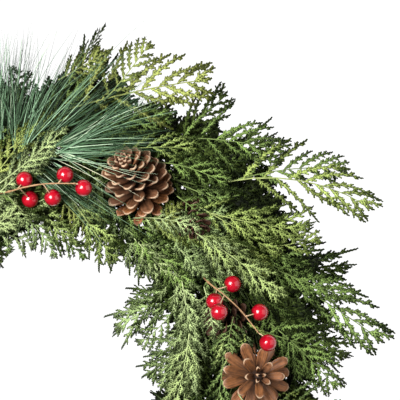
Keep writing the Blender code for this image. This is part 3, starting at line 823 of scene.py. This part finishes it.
def buildBunch(number):
    source = chance(f"bunch{number}")
    parts, some = [], chooser(source, bunch)
    u0, later, fan0 = bunch["stemStart"]
    u1, fan1 = bunch["stemEnd"]
    low, higher, high = bunch["stemLayers"]
    for k in range(-3, 4):
        start, end = onBunch(number, u0 + later * (k % 3), fan0 * k)[1:], onBunch(number, u1, fan1 * k)[1:]
        parts.append(layFrond("stem", *start, *end, low + higher * (k % 3), high, bunch["stemTone"], 0, 0,
                              bunch["stemHump"]))
    for kind, u, d, out, length, low, high, tone in fillPattern:
        angle, x, y = onBunch(number, u + some("along"), d + some("out"))
        heading = angle - math.pi / 2 + math.radians(out + some("heading"))
        length = 1000 * length * some("length")
        end = x + length * math.cos(heading), y + length * math.sin(heading)
        parts.append(layFrond(kind, x, y, *end, low, high, toneOf(tone, source), some("sway"), some("roll"),
                              some("hump")))
    model = sameAs.get(number, number)
    turn = bunchAngle(number) - bunchAngle(model)
    loose = bunch["loose"] if number in sameAs else 0.0
    for kind, x0, y0, x1, y1, low, high, tone, sway, *spread in featured[model]:
        start, (x1, y1) = ([value + source.uniform(-loose, loose) for value in swung(x, y, turn)]
                           for x, y in ((x0, y0), (x1, y1)))
        if number in sameAs:
            least, most = bunch["held"]
            reach = math.hypot(x1, y1)
            held = min(1, most / reach) * max(1, least / reach)
            x1, y1 = x1 * held, y1 * held
        parts.append(layFrond(kind, *start, x1, y1, low, high, toneOf(tone, source), sway,
                              some("faceRoll"), some("faceHump"), *spread))
    laid = pressedUnderBerries(clearOfCones(joined(parts)))
    pieceFrom(laid, f"cedarBunch.{number + 1:02d}", "cedar", f"cedar_bunch_{number + 1:02d}")


backSpray = {
    "along": (-0.05, 0.05), "heading": (-6, 6), "length": (0.94, 1.02), "sway": (-14, 14),
    "hump": 0.02,
    "lowest": 0.0040,  # its leaves stay above this
    "above": 0.008,  # and no more than this over its own height
}


def buildBackSpray(number):
    source = chance(f"back{number}")
    parts, some = [], chooser(source, backSpray)
    for kind, u, d, out, length, height, tone in backPattern:
        angle, x, y = onBunch(number, u + some("along"), d)
        heading = angle - math.pi / 2 + math.radians(out + some("heading"))
        length = 1000 * length * some("length")
        end = x + length * math.cos(heading), y + length * math.sin(heading)
        laid = layFrond(kind, x, y, *end, 0, 0, toneOf(tone, source), some("sway"), 0, backSpray["hump"])
        laid["v"][:, 2] += height - np.median(laid["v"][:, 2])
        laid["v"][:, 2] = np.clip(laid["v"][:, 2], backSpray["lowest"], height + backSpray["above"])
        parts.append(laid)
    pieceFrom(joined(parts), f"backSpray.{number + 1:02d}", "backCedar",
              f"back_spray_{number + 1:02d}")


# each cone: half its length and width, tip as tilt from upright and heading, tone of the scales, how far they
# stand open, how drawn out it is, how many scales, how wide they are, and how much redder near its foot
coneFacts = ("half", "tip", "tone", "open", "long", "scales", "slim", "rust")
cones = {f"pine_cone_{k + 1}": dict(zip(coneFacts, row)) for k, row in enumerate([
    ((0.0350, 0.0315), (44, 116), 0.44, 0.88, 1.5, 78, 0.88, 1.3),
    ((0.0310, 0.0285), (8, 20), 0.62, 1.12, 1.05, 30, 0.78, 0.5),
    ((0.0310, 0.0280), (38, 215), 0.5, 0.95, 1.3, 54, 1.0, 0.5),
    ((0.0320, 0.0285), (25, 130), 0.55, 1.05, 1.1, 44, 1.0, 0.5),
    ((0.0310, 0.0280), (35, 185), 0.45, 0.95, 1.3, 54, 1.0, 0.5),
    # the three small deep cones have a near-black tone: painted shade for lying deep in the greens
    *(((0.0200, 0.0165), (45, heading), 0.06, 0.8, 1.2, 44, 1.0, 0.5) for heading in (300, 180, 60)),
])}
clearance = {
    "open": 0.9,  # how much of a cone's half width is kept clear of twigs, and of a deep one's
    "deep": 0.5,
    "deepTone": 0.3,  # scales darker than this are those of a deep cone, whose dark tone is painted shade
    "hit": 0.3,  # a twig is left out if more of it than this is inside
}


def boxMiddle(node):
    low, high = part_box(node)
    return (Vector(low) + Vector(high)) / 2


def clearOfCones(shape):
    # leaves out the twigs that would run through a cone: each separate twig goes or stays whole
    points, faces = shape["v"], shape["f"]
    inside = np.zeros(len(points), bool)
    for name, facts in cones.items():
        away = points - np.array(boxMiddle(name), np.float32)
        kept = clearance["open" if facts["tone"] > clearance["deepTone"] else "deep"] * facts["half"][1]
        inside |= (away ** 2).sum(1) < kept ** 2
    if not inside.any():
        return shape
    # twigs are stored one after another, so a new one starts where no earlier face refers back
    last = np.zeros(len(points), np.int64)
    np.maximum.at(last, faces.min(1), faces.max(1))
    reach = np.maximum.accumulate(last)
    starts = np.r_[0, np.nonzero(reach[:-1] <= np.arange(len(points) - 1))[0] + 1]
    group = np.searchsorted(starts, np.arange(len(points)), side="right") - 1
    keep = ~(np.bincount(group, inside) > clearance["hit"] * np.bincount(group))[group]
    order = np.cumsum(keep) - 1
    return {"v": points[keep], "f": order[faces[keep[faces[:, 0]]]].astype(np.int32), "c": shape["c"][keep]}


def pressedUnderBerries(shape):
    # the greens give way under and round each berry, so it lies on them in a shallow dent
    size = berries["radius"]
    for middle in berryMiddles():
        far = np.hypot(shape["v"][:, 0] - middle[0], shape["v"][:, 1] - middle[1])
        near = far < berries["dent"] * size
        limit = middle[2] - berries["sunk"] * size + berries["dentSlope"] * np.maximum(far[near] - size, 0)
        shape["v"][near, 2] = np.minimum(shape["v"][near, 2], limit)
    return shape


# ---- cones

coneScale = {
    "along": (0, 0.25, 0.55, 0.80, 0.95, 1.0),
    "half": (0.36, 0.60, 0.84, 0.98, 0.98, 0.74),
    "round": 0.08,  # its corners are drawn back by this much
    "cup": 0.05,  # its sides and its end rise by this much
    "thick": 0.055,
    "grown": (0.72, 0.30),  # the amount for its rim and for the painted shade at its foot rises along it, and jumps on the rim
    "rim": 0.9,
    "rimFrom": 0.45,
}
conePlan = {  # from the base of a cone to its tip, in millimetres and degrees
    "share": (0, 0.30, 0.60, 0.78, 0.90, 1),
    "length": (21, 24, 23, 16, 8, 4.5),
    "lean": (104, 86, 64, 50, 32, 10),
    "root": (-19, -11, -1, 6, 10, 13),
    "width": (9.0, 11.0, 10.4, 8.0, 4.0, 2.4),
    "half": 0.031,  # half the length of a cone of this size, in metres, as are the next three
    "core": (0.006, 0.017, -0.003),  # its woody core: radius, half length and place
    "seat": 0.002,
    "depth": 0.024,
    "crowding": 0.92,
    "turn": 137.508,  # degrees from one scale to the next
    # spans to choose from for each scale, in degrees, shares, radians and tone
    "leans": (-5, 5), "lengths": (0.93, 1.05), "widths": (0.93, 1.07), "turns": (-0.08, 0.08),
    "tones": (-0.12, 0.12),
    "rustUntil": 0.36,
}


def makeConeScale():
    # a petal along X, one long and one wide, cupped towards the tip side
    bm = bmesh.new()
    bmesh.ops.create_grid(bm, x_segments=6, y_segments=4, size=0.5)
    for point in bm.verts:
        along, across = point.co.x + 0.5, point.co.y * 2
        half = 0.5 * float(np.interp(along, coneScale["along"], coneScale["half"]))
        back, cup = coneScale["round"] * across ** 2 * along, coneScale["cup"]
        point.co = (along - back, across * half, cup * across ** 2 + cup * along ** 2)
    bmesh.ops.solidify(bm, geom=bm.faces, thickness=coneScale["thick"])
    bmesh.ops.remove_doubles(bm, verts=bm.verts, dist=1e-6)
    bmesh.ops.recalc_face_normals(bm, faces=bm.faces)
    if bm.calc_volume(signed=True) < 0:
        bmesh.ops.reverse_faces(bm, faces=bm.faces)
    shape = shapeOf(bm)
    x, y = shape["v"][:, 0], shape["v"][:, 1]
    half = 0.5 * np.interp(x, coneScale["along"], coneScale["half"])
    rim, (rise, jump) = coneScale["rim"], coneScale["grown"]
    edge = np.maximum(np.abs(y) / half, np.where(x > rim, 1.0, 0.0))
    shape["c"][:, 1] = np.clip(x * rise + jump * (edge > rim) * (x > coneScale["rimFrom"]), 0, 1)
    shape["c"][:, 2] = y + 0.5
    return shape


petal = makeConeScale()


def buildCone(name):
    facts, source = cones[name], chance(name)
    some = chooser(source, conePlan)
    tilt, heading = (math.radians(value) for value in facts["tip"])
    tip = Vector((math.sin(tilt) * math.cos(heading), math.sin(tilt) * math.sin(heading), math.cos(tilt)))
    radius, half, place = conePlan["core"]
    core = bmesh.new()
    inside = shifted(0, 0, place * facts["long"]) @ scaled(radius, radius, half * facts["long"])
    bmesh.ops.create_uvsphere(core, u_segments=10, v_segments=8, radius=1, matrix=inside)
    parts = [shapeOf(core)]
    count = facts["scales"]
    for k in range(count):
        share = ((k + 0.5) / count) ** conePlan["crowding"]
        length, lean, root, width = (float(np.interp(share, conePlan["share"], conePlan[key]))
                                     for key in ("length", "lean", "root", "width"))
        lean = math.radians(lean * facts["open"] + some("leans"))
        length *= 0.001 * some("lengths")
        width *= 0.001 * some("widths") * facts["slim"]
        outward = turned(k * math.radians(conePlan["turn"]) + some("turns"), "Z")
        scale = moved(petal, outward @ shifted(conePlan["seat"], 0, root * facts["long"] / 1000)
                      @ turned(lean - math.pi / 2, "Y") @ scaled(length, width, conePlan["depth"]))
        rust = facts["rust"] * max(0.0, conePlan["rustUntil"] - share)
        scale["c"][:, 0] = np.clip(facts["tone"] + rust + some("tones"), 0, 1)
        parts.append(scale)
    upright = tip.to_track_quat("Z", "Y").to_matrix().to_4x4() @ turned(source.uniform(0, 6.28), "Z")
    shape = moved(joined(parts), upright @ Matrix.Scale(facts["half"][0] / conePlan["half"], 4))
    # its outline seen from the face fills that of the node it stands for
    low, high = (np.array(corner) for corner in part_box(name))
    least, most = shape["v"].min(0), shape["v"].max(0)
    grow = float(np.mean((high - low)[:2] / (most - least)[:2]))
    shape["v"] = (grow * (shape["v"] - (least + most) / 2) + np.array(boxMiddle(name))).astype(np.float32)
    pieceFrom(shape, name.replace("pine_cone_", "pineCone."), "cone", name, smooth=True)


for name in cones:
    buildCone(name)
print("cones made,", len(petal["f"]), "faces a scale")


# ---- pine

pine = {
    "needles": 480,  # in a tuft, at least, out of this many bundles at most
    "bundles": 400,
    "thick": 0.00040,
    "room": (0.274, 0.2645, 0.132),
    "turn": (0, 108, 216),  # the three tufts, as turns of the first about the wreath's middle
    # heading of a needle, where such needles grow, in millimetres, and how long they are
    "heading": (-38, -22, 0, 25, 50, 75, 100),
    "growX": (-14, -8, 0, -10, -22, -36, -46),
    "growY": (140, 148, 156, 158, 160, 160, 158),
    "length": (78, 90, 80, 98, 120, 112, 102),
    "headings": (-40, 108), "early": (-33, -20), "earlyBundles": 6,
    "strewn": (8.0, 6.0),  # how far they grow from there
    "deep": 0.014,  # from the lowest to the highest foot of a needle
    # spans to choose from: shares, degrees, and turns per metre
    "lengths": (0.62, 1.12), "each": (0.82, 1.06), "aside": (-9, 9),
    "sideways": (-4.5, 3.0), "sag": (0.8, 5.0),
    "rises": (2, 19), "moreRise": (15, 5), "riseEach": (-3, 3), "inBundle": 5,
    "tone": (-0.06, 0.56, 0.15),  # painted shade by height: tone of the lowest, how much lighter the highest are, and how uneven
    "darker": (-0.4, -0.2), "lighter": (-0.05, 0.36), "darkShare": 0.35, "palest": 0.85,
    "dry": (0.74, 0.96), "dryUnder": -8, "dryShare": 0.08,
    # a few bundles of the first tuft lie across the cone beside it
    "over": {"bundles": 4, "x": (-26, -4), "y": (156, 172), "high": 0.3, "lengths": (1.15, 1.3),
             "rises": (22, 31), "inBundle": 3},
    "clear": (0.93, 0.001),  # of a cone's half width, and round a berry
}


def needleShape():
    bm = rodAlongX(1, 1, 0.25, 3, 7)
    for point in bm.verts:
        wide = 1.0 if point.co.x < 0.75 else 1.0 - 0.6 * (point.co.x - 0.75) * 4
        point.co.y, point.co.z = point.co.y * wide, point.co.z * wide
    return shapeOf(bm)


needle = needleShape()


def throughSomething(points, obstacles):
    return any((((points - middle) ** 2).sum(1) < radius ** 2).any() for middle, radius in obstacles)


def layNeedle(x, y, heading, high, length, rise, some):
    # a needle from a place in metres, sagging a little along its length
    shape = moved(needle, scaled(length, pine["thick"], pine["thick"]))
    shape = curved(shape, some("sideways"), -some("sag"))
    foot = shifted(x, y, faceHeight(x, y) + pine["deep"] * high)
    return moved(shape, foot @ turned(heading, "Z") @ turned(-rise, "Y"))


def buildPine(number):
    source = chance(f"pine{number}")
    some = chooser(source, pine)
    turn, across, (share, gap) = math.radians(pine["turn"][number]), pine["over"], pine["clear"]
    obstacles = [(np.array(boxMiddle(name)), share * facts["half"][1]) for name, facts in cones.items()]
    obstacles += [(middle, berries["radius"] + gap) for middle in berryMiddles()]
    parts = []
    for bundle in range(pine["bundles"]):
        if len(parts) >= pine["needles"]:
            break
        heading = some("early" if bundle < pine["earlyBundles"] else "headings")
        x, y, length = (float(np.interp(heading, pine["heading"], pine[key]))
                        for key in ("growX", "growY", "length"))
        x, y = x + source.normal(0, pine["strewn"][0]), y + source.normal(0, pine["strewn"][1])
        high = source.random()
        over = number == 0 and bundle < across["bundles"]
        if over:
            x, y, high = source.uniform(*across["x"]), source.uniform(*across["y"]), across["high"]
        x, y = swung(x, y, turn)
        length *= 0.001 * source.uniform(*(across if over else pine)["lengths"])
        rise = some("rises") + (pine["moreRise"][1] if heading < pine["moreRise"][0] else 0)
        # painted shade: the lower a needle's foot, the darker it is
        low, more, uneven = pine["tone"]
        tone = source.normal(low + more * high, uneven)
        for _ in range((across if over else pine)["inBundle"]):
            rising = math.radians(source.uniform(*across["rises"]) if over else rise + some("riseEach"))
            aside = math.radians(heading + some("aside")) + turn
            shape = layNeedle(x / 1000, y / 1000, aside, high, length * some("each"), rising, some)
            far = np.abs(shape["v"]).max(0)
            if (far > pine["room"]).any() or throughSomething(shape["v"], obstacles):
                continue
            shade = tone + some("darker" if source.random() < pine["darkShare"] else "lighter")
            shape["c"][:, 0] = float(np.clip(shade, 0, pine["palest"]))
            if over or (heading < pine["dryUnder"] and source.random() < pine["dryShare"]):
                shape["c"][:, 0] = some("dry")
            parts.append(shape)
    print("pine tuft", number + 1, len(parts), "needles")
    pieceFrom(joined(parts), f"pineTuft.{number + 1}", "needles", f"pine_sprig_{number + 1}")


# ---- berries

berries = {
    "radius": 0.007,
    "dent": 2.0,  # the greens are pressed down this far out from its middle, in radii
    "sunk": 0.6,  # to this far under its middle, and sloping up from its edge
    "dentSlope": 1.6,
    "fanned": ((15.6, 8.3), (17.5, -7.8), (37.2, -8.7), (49.3, 8.4), (63.3, -3.7)),
    "trailing": ((15.1, 13.2), (14.5, -7.0), (22.6, -10.0), (46.8, 12.9), (68.3, 0.4)),
    # angle and radius of the twig's start, its heading, and which way its berries are set
    "sprigs": (
        (109.3, 0.1284, 6.4, "fanned"), (21.5, 0.1304, -45.3, "trailing"), (-50.0, 0.1300, -153.8, "fanned"),
        (-128.0, 0.1310, 165.2, "trailing"), (180.0, 0.1290, 76.2, "fanned"),
    ),
    "underside": (0.86, 0.0009),  # dimples: from which share of its radius down or up, and how deep
    "stalkEnd": (0.95, 0.0007),
    "eye": (0.93, 0.04),
}
twig = {
    "length": 0.058,
    "radius": (0.00070, 0.00048),
    "bow": 0.003,  # how far it bends aside
    "tail": (0.014, -0.034),  # it comes up out of the greens from this far back and down
    "shares": (0, 0.3, 0.6, 1.0),  # places along it, and their heights over its level
    "heights": (-0.009, 0.0069, 0.0078, 0.009),
    "under": 0.0100,  # its level is this far under the top of its node at its end
    "before": 0.006,  # a stalk leaves it this far before its berry
    "knot": (0.55, 0.0011),
    "waves": (0.10, 1400),
    "stalk": (0.00050, 0.00042),
    "tones": (0.5, 0.9),  # of the twig and of its stalks
}


def sprigFrame(number):
    angle, radius, heading, pattern = berries["sprigs"][number]
    start = Vector((radius * math.cos(math.radians(angle)), radius * math.sin(math.radians(angle)), 0))
    ahead = Vector((math.cos(math.radians(heading)), math.sin(math.radians(heading)), 0))
    return start, ahead, Vector((-ahead.y, ahead.x, 0)), berries[pattern]


def nodeTop(name, place, reach):
    # the highest point of a frame node near a place
    mesh = nodes[name].data
    points = np.empty(len(mesh.vertices) * 3, np.float32)
    mesh.vertices.foreach_get("co", points)
    points = points.reshape(-1, 3)
    near = ((points[:, :2] - np.array(place[:2])) ** 2).sum(1) < reach ** 2
    return float(points[near, 2].max())


def berryMiddle(number, pair):
    start, ahead, left, _ = sprigFrame(number)
    flat = start + ahead * pair[0] / 1000 + left * pair[1] / 1000
    return Vector((flat.x, flat.y, nodeTop(f"berry_sprig_{number + 1}", flat, 0.0012) - berries["radius"]))


def berryMiddles():
    sprigs = range(len(berries["sprigs"]))
    return [np.array(berryMiddle(k, pair)) for k in sprigs for pair in sprigFrame(k)[3]]


def alongPath(shape, path, length):
    # lays a shape that runs along X for a length onto a smooth path through points
    path = np.array([list(p) for p in path], np.float64)
    fine = []
    for k in range(len(path) - 1):
        a, b = path[max(0, k - 1)], path[k]
        c, d = path[k + 1], path[min(len(path) - 1, k + 2)]
        for t in np.linspace(0, 1, 9)[: 9 if k == len(path) - 2 else 8]:
            fine.append(0.5 * (2 * b + (c - a) * t + (2 * a - 5 * b + 4 * c - d) * t ** 2
                               + (3 * b - a - 3 * c + d) * t ** 3))
    fine = np.array(fine)
    gone = np.r_[0, np.cumsum(np.linalg.norm(np.diff(fine, axis=0), axis=1))]
    ahead = np.gradient(fine, axis=0)
    ahead /= np.linalg.norm(ahead, axis=1)[:, None]
    aside = np.cross((0.013, 0.021, 1.0), ahead)
    aside /= np.linalg.norm(aside, axis=1)[:, None]
    above = np.cross(ahead, aside)
    s = np.clip(shape["v"][:, 0] / length, 0, 1) * gone[-1]
    at = [np.stack([np.interp(s, gone, part[:, k]) for k in range(3)], 1) for part in (fine, aside, above)]
    v = at[0] + at[1] * shape["v"][:, 1:2] + at[2] * shape["v"][:, 2:3]
    return {"v": v.astype(np.float32), "f": shape["f"], "c": shape["c"]}


def knobbly(length, source, knots):
    # a twig with slight swellings where stalks leave it
    stem = shapeOf(rodAlongX(length, *twig["radius"], 8, 60))
    x = stem["v"][:, 0]
    (wave, often), (swelling, wide) = twig["waves"], twig["knot"]
    swell = 1 + wave * np.sin(x * often + source.uniform(0, 6))
    for knot in knots:
        swell += swelling * np.exp(-((x - knot) / wide) ** 2)
    stem["v"][:, 1:] *= swell[:, None]
    return stem


def onTwig(number, share, level):
    start, ahead, left, _ = sprigFrame(number)
    place = start + ahead * twig["length"] * share + left * twig["bow"] * math.sin(3 * share)
    place.z = level + float(np.interp(share, twig["shares"], twig["heights"]))
    return place


def buildSprig(number):
    start, ahead, _, pattern = sprigFrame(number)
    name, source = f"berry_sprig_{number + 1}", chance(f"sprig{number}")
    level = nodeTop(name, onTwig(number, 1.0, 0), 0.0018) - twig["under"]
    back, down = twig["tail"]
    tail = start - ahead * back
    tail.z = level + down
    points = [tail] + [onTwig(number, share, level) for share in twig["shares"]]
    whole = back + twig["length"]
    knots = [back + along / 1000 - twig["before"] for along, _ in pattern]
    parts = [alongPath(knobbly(whole, source, knots), points, whole)]
    parts[0]["c"][:, 0], stalkTone = twig["tones"]
    for pair in pattern:
        middle = berryMiddle(number, pair)
        leave = onTwig(number, min(1.0, (pair[0] / 1000 - twig["before"]) / twig["length"]), level)
        bow = leave.lerp(middle, 0.5) + Vector((source.uniform(-1, 1), source.uniform(-1, 1), 1.5)) * 0.001
        stalk = alongPath(shapeOf(rodAlongX(0.02, *twig["stalk"], 6, 14)), [leave, bow, middle], 0.02)
        stalk["c"][:, 0] = stalkTone
        parts.append(stalk)
    pieceFrom(joined(parts), f"berryTwig.{number + 1}", "bark", name, smooth=True)
    for k, pair in enumerate(pattern):
        foot = start + ahead * (pair[0] / 1000 - twig["before"])
        buildBerry(f"berry.{number + 1}.{k + 1}", berryMiddle(number, pair), foot, name, source)


def buildBerry(name, middle, stalkFoot, node, source):
    # a berry: a ball with a dimple at its stalk and a small dark eye at the far end
    size = berries["radius"]
    bm = bmesh.new()
    bmesh.ops.create_uvsphere(bm, u_segments=28, v_segments=18, radius=size)
    for side, (most, deep) in ((-1, berries["underside"]), (1, berries["stalkEnd"])):
        for point in bm.verts:
            beyond = side * point.co.z / size - most
            if beyond > 0:
                point.co.z -= side * deep * beyond / (1 - most)
    away = Vector((middle.x - stalkFoot.x, middle.y - stalkFoot.y, -0.004))
    turn = away.to_track_quat("Z", "Y").to_matrix().to_4x4()
    bm.transform(Matrix.Translation(middle) @ turn @ turned(source.uniform(0, 6), "Z"))
    shape = shapeOf(bm)
    away.normalize()
    facing = ((shape["v"] - np.array(middle)) @ np.array(away)) / size
    # painted light: height on the berry, lit on top and shaded round its waist
    shape["c"][:, 1] = 0.5 + 0.5 * (shape["v"][:, 2] - middle.z) / size
    shape["c"][:, 2] = np.clip((facing - berries["eye"][0]) / berries["eye"][1], 0, 1)
    pieceFrom(shape, name, "berry", node, smooth=True)


for number in range(len(berries["sprigs"])):
    buildSprig(number)
print("berries made")
for number in range(len(pine["turn"])):
    buildPine(number)

for name, piece in nodes.items():
    if name.startswith(("ring", "hanging", "cone_wire")):
        for place in piece.material_slots:
            place.material = finishes["enamel" if name == "ring_frame" else "wire"]

# ---- the greens are laid last, clear of the cones and under the berries

for number in range(wreath["bunches"]):
    buildBunch(number)
    buildBackSpray(number)
print("cedar laid")


stage = {
    "floor": (2.5, (0.93, 0.93, 0.93, 1)),
    "floorGlow": 1.1,  # what the camera sees of it
    "air": 0.28,
    "lamps": {"key": ((-0.9, 0.35, 1.7), 1.1, 103), "fill": ((1.7, 0.2, 1.1), 2.0, 22)},  # place, size, power
    "eye": (0.1148, 0.1148, 2.25),
    "lens": 240.0,
}


def lightStage():
    size, colour = stage["floor"]
    bm = bmesh.new()
    bmesh.ops.create_grid(bm, x_segments=1, y_segments=1, size=size)
    mesh = bpy.data.meshes.new("floor")
    bm.to_mesh(mesh)
    bm.free()
    material, tree, shader = nodeMaterial("paleFloor", 0.9, Base_Color=colour)
    glow = newNode(tree, "Emission", Strength=stage["floorGlow"])
    ray = newNode(tree, "LightPath")
    both = newNode(tree, "MixShader")
    for index, output in enumerate((ray.outputs["Is Camera Ray"], shader.outputs[0], glow.outputs[0])):
        tree.links.new(output, both.inputs[index])
    tree.links.new(both.outputs[0], tree.nodes["Material Output"].inputs["Surface"])
    mesh.materials.append(material)
    linked("floor", mesh)
    scene = bpy.context.scene
    scene.world = world = bpy.data.worlds.new("studio")
    world.use_nodes = True
    air = world.node_tree.nodes["Background"]
    air.inputs["Color"].default_value = (1, 1, 1, 1)
    air.inputs["Strength"].default_value = stage["air"]
    for name, (place, size, power) in stage["lamps"].items():
        light = bpy.data.lights.new(name, "AREA")
        light.size, light.energy = size, power
        lamp = linked(name, light)
        lamp.location = place
        lamp.rotation_euler = (-Vector(place)).to_track_quat("-Z", "Y").to_euler()
    camera = bpy.data.cameras.new("camera")
    camera.lens, camera.clip_end = stage["lens"], 20
    eye = linked("camera", camera)
    eye.location = stage["eye"]
    scene.camera = eye
    scene.view_settings.view_transform = "Standard"


lightStage()
